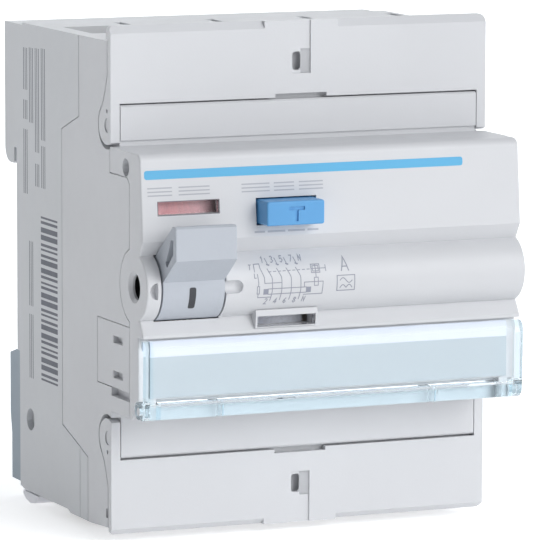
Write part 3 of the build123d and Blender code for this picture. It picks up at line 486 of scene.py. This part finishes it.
def stripe():
    """Plain coloured stripe along the top of the panel."""
    ink = Ink(on_nose)
    left, right, height, width = -34.3, 24.3, 19.05, 1.5
    ink.bar(left, right, height, width, corner=0.45)
    ink.finish("panel_stripe", "ink_blue", "housing")


def placeholders():
    """Ruled lines where the real panel has lettering."""
    ink = Ink(on_nose)
    above_windows, line_pitch = 15.6, 0.62
    words = ((-33.8, -29.4), (-28.2, -22.6), (-16.8, -11.7), (-10.9, -7.2), (-6.3, -1.9))
    for left, right in words:
        for line in range(3):
            ink.bar(left, right, above_windows + line_pitch * line, 0.2)
    x, below_button, word_gap = -14.7, 8.75, 0.5
    for length in (1.9, 3.2, 3.1, 2.0):
        ink.bar(x, x + length, below_button, 0.32)
        x += length + word_gap
    ink.finish("panel_placeholders", "ink_pale", "housing")


def diagram():
    """Generic wiring sketch of a four-pole residual current switch."""
    ink = Ink(on_nose)
    pen = 0.13
    digit = 0.95
    first_pole, pole_pitch = -12.36, 1.74
    for pole in range(4):
        x = first_pole + pole_pitch * pole
        ink.stroke([(x - 0.77, 2.7), (x - 0.05, 1.3), (x, 0.9), (x, -1.2), (x - 0.22, -2.75)], pen)
        ink.stroke([(x - 0.72, 4.3), (x - 0.42, 3.1)], pen)
        ink.stroke([(x - 0.72, 3.35), (x - 0.18, 3.2)], 0.2)
        ink.glyph("1357"[pole], x - 1.65, 3.6, digit, pen)
        ink.glyph("2468"[pole], x - 1.3, -3.3, digit, pen)
    ink.glyph("N", -7.1, 3.65, digit, pen)
    ink.glyph("N", -6.75, -3.2, digit, pen)
    # Dashed coupling bar to the release and its push rod
    dash_pitch, dash_rise = 0.88, 0.012
    for i in range(9):
        ink.stroke([(-12.95 + dash_pitch * i, 2.16 + dash_rise * i),
                    (-12.4 + dash_pitch * i, 2.17 + dash_rise * i)], pen)
    ink.box(-5.1, 1.65, -3.55, 3.0, pen)
    ink.box(-4.85, 1.9, -3.8, 2.75, pen)
    ink.stroke([(-4.32, 3.0), (-4.32, 0.85)], pen)
    ink.stroke([(-5.1, 2.32), (-2.5, 2.32)], pen)
    ink.stroke([(-2.45, 2.85), (-2.45, 1.8)], pen)
    ink.box(-4.65, -0.5, -3.95, 0.85, pen)
    # Core with its secondary winding loop
    ink.box(-13.1, -1.6, -6.1, -0.68, pen)
    ink.bar(-13.95, -13.1, -1.14, 0.95)
    ink.bar(-6.1, -5.25, -1.14, 0.95)
    ink.stroke([(-6.5, -0.6), (-6.5, 0.15), (-3.05, 0.15), (-3.15, -1.95), (-6.6, -1.95)], pen)
    # Test circuit with its push button and resistor
    ink.glyph("T", -16.5, 2.6, 0.8, pen)
    ink.stroke([(-15.45, 2.2), (-15.4, 3.45), (-14.4, 3.5), (-14.35, 2.75), (-13.8, 1.35),
                (-13.75, 0.3), (-10.65, 0.3)], pen)
    ink.stroke([(-15.55, 2.0), (-15.55, 1.25), (-15.2, 1.25)], pen)
    ink.stroke([(-15.0, 1.9), (-14.85, 0.4), (-14.9, -0.2)], pen)
    ink.box(-15.1, -1.45, -14.7, -0.2, pen)
    ink.stroke([(-14.9, -1.45), (-14.9, -2.1), (-12.5, -2.1)], pen)
    # Type letter and waveform box
    ink.glyph("A", 0.4, 1.65, 2.3, 0.17, slant=0.0)
    ink.box(-0.45, -1.62, 2.8, 0.95, 0.15)
    steps, start, run = 19, 0.05, 0.12
    wave = [(start + run * i, 0.1 + 0.42 * math.sin(2 * math.pi * i / steps))
            for i in range(steps + 1)]
    ink.stroke(wave, 0.15)
    humps = [(start + run * i, -1.2 + 0.55 * abs(math.sin(2 * math.pi * i / steps)))
             for i in range(steps + 1)]
    ink.stroke(humps, 0.15)
    ink.finish("panel_diagram", "ink_grey", "housing")


def window_rim():
    """Thin dark joint line round the upper window."""
    ink = Ink(lambda x, z, lift: on_nose(x, z, lift * RIM_SHARE))
    ink.box(-32.06, 12.24, -20.94, 14.56, 0.11)
    ink.finish("status_window_rim", "ink_rim", "housing")


def toggle_marks():
    """On mark and off mark on the drum, which shows one of them at a time."""
    ink = Ink(on_drum)
    x = -26.8
    ink.post(x, -3.55, 0.3, 1.2, corner=0.35)
    middle = DRUM_R * math.radians(84)
    reach, upright, steps = 1.15, 1.4, 32
    ring = [(x + reach * math.cos(2 * math.pi * i / steps),
             middle + upright * math.sin(2 * math.pi * i / steps)) for i in range(steps)]
    ink.stroke(ring, 0.4, closed=True)
    ink.finish("toggle_marks", "ink_dark", "toggle")


def side_print():
    """Meaningless bars and ruled lines where the real side is printed."""
    ink = Ink(on_left_side)
    z = 7.0
    near, far, thinnest, gap = 25.3, 33.4, 0.36, 0.42
    for i in range(26):
        thick = thinnest + 0.27 * ((i * i) % 5) / 2
        ink.bar(near, far, z - thick / 2, thick)
        z -= thick + gap + 0.2 * (i % 2)
    columns = ((40.9, ((36.0, 28.6), (26.8, 23.4), (21.6, 10.2))),
               (38.0, ((36.2, 23.0),)),
               (35.1, ((36.3, 18.0), (16.0, 12.0))),
               (32.1, ((36.5, 20.4), (19.4, 12.0))),
               (38.3, ((2.0, -9.5), (-11.0, -22.4))))
    for depth, words in columns:
        for high, low in words:
            for line in (-0.8, 0.0, 0.8):
                ink.stroke([(depth + line, high), (depth + line, low)], 0.26)
    ink.finish("side_print", "ink_side", "housing")


stripe()
placeholders()
diagram()
window_rim()
toggle_marks()
side_print()

# ---------------------------------------------------------------------------
# Floor, light and camera
# ---------------------------------------------------------------------------

SKY_LEFT, SKY_RIGHT = 0.0, 0.94  # the studio is darker on the object's left
SKY_TINT = (0.93, 0.96, 1.0, 1)
KEY_FROM = (0.42, -1.0, 0.5)  # towards the lamp
KEY_STRENGTH, KEY_SOFTNESS = 1.5, 42  # softness in degrees
FLOOR_GLOW, FLOOR_SEEN = 0.24, 0.46  # glow that lights the object, and glow in the view
FLOOR_GAP = 0.0001  # metres under the object
FLOOR_HALF, FLOOR_FRONT, WALL_FOOT, WALL_TOP = 4.0, -3.0, 1.4, 4.0
SWEEP_R, SWEEP_STEPS = 0.8, 12  # curve from the floor up into the wall

CAMERA_AT = (-0.3329, -0.8008, 0.11062)
CAMERA_TURN, CAMERA_TILT, CAMERA_ROLL = -0.407, 0.132, 0.002  # radians; the tilt is downwards
FOCAL_LENGTH, SENSOR = 323.1, 36.0
SHIFT_X, SHIFT_Y = 0.0154, -0.0128


def backdrop():
    """Pale floor that curves up into a wall behind the object."""
    floor_z = CAD_BOX[0].z - FLOOR_GAP
    profile = [(FLOOR_FRONT, 0.0), (WALL_FOOT, 0.0)]
    for step in range(1, SWEEP_STEPS + 1):
        angle = math.pi / 2 * step / SWEEP_STEPS
        profile.append((WALL_FOOT + SWEEP_R * math.sin(angle), SWEEP_R - SWEEP_R * math.cos(angle)))
    profile.append((WALL_FOOT + SWEEP_R, WALL_TOP))
    mesh = bpy.data.meshes.new("backdrop")
    points = [(x, y, floor_z + z) for y, z in profile for x in (-FLOOR_HALF, FLOOR_HALF)]
    faces = [(2 * i, 2 * i + 1, 2 * i + 3, 2 * i + 2) for i in range(len(profile) - 1)]
    mesh.from_pydata(points, [], faces)
    for face in mesh.polygons:
        face.use_smooth = True
    thing = add_object("backdrop", mesh)
    g = Graph("backdrop_white")
    seen = g.node("ShaderNodeLightPath").outputs["Is Camera Ray"]
    g.set(Base_Color=(0.93, 0.935, 0.94, 1), Roughness=0.75, Emission_Color=(1, 1, 1, 1),
          Emission_Strength=g.ramp(seen, 0, 1, FLOOR_GLOW, FLOOR_SEEN))
    mesh.materials.append(g.material)


def camera():
    """Long lens in front of the object, to its left and a little above it."""
    data = bpy.data.cameras.new("camera")
    data.sensor_width = SENSOR
    data.lens = FOCAL_LENGTH
    data.shift_x = SHIFT_X
    data.shift_y = SHIFT_Y
    data.clip_start = 0.05
    data.clip_end = 20.0
    thing = add_object("camera", data)
    turn = (Matrix.Rotation(CAMERA_TURN, 4, "Z")
            @ Matrix.Rotation(math.pi / 2 - CAMERA_TILT, 4, "X")
            @ Matrix.Rotation(CAMERA_ROLL, 4, "Z"))
    thing.matrix_world = Matrix.Translation(CAMERA_AT) @ turn
    bpy.context.scene.camera = thing


def sky():
    """World light that grows from the object's left to its right."""
    world = bpy.data.worlds.new("studio")
    bpy.context.scene.world = world
    world.use_nodes = True
    tree = world.node_tree
    light = tree.nodes["Background"]
    light.inputs["Color"].default_value = SKY_TINT
    direction = tree.nodes.new("ShaderNodeTexCoord").outputs["Generated"]
    split = tree.nodes.new("ShaderNodeSeparateXYZ")
    from_left = tree.nodes.new("ShaderNodeMapRange")
    limits = {"From Min": -1.0, "From Max": 1.0, "To Min": SKY_LEFT, "To Max": SKY_RIGHT}
    for name, value in limits.items():
        from_left.inputs[name].default_value = value
    tree.links.new(direction, split.inputs[0])
    tree.links.new(split.outputs["X"], from_left.inputs["Value"])
    tree.links.new(from_left.outputs[0], light.inputs["Strength"])


def key_lamp():
    """Even soft light from in front of the object, to its right and above."""
    data = bpy.data.lights.new("key", "SUN")
    data.energy = KEY_STRENGTH
    data.angle = math.radians(KEY_SOFTNESS)
    lamp = add_object("key", data)
    lamp.rotation_euler = (-Vector(KEY_FROM)).to_track_quat("-Z", "Y").to_euler()


backdrop()
camera()
sky()
key_lamp()
bpy.context.scene.view_settings.view_transform = "Standard"
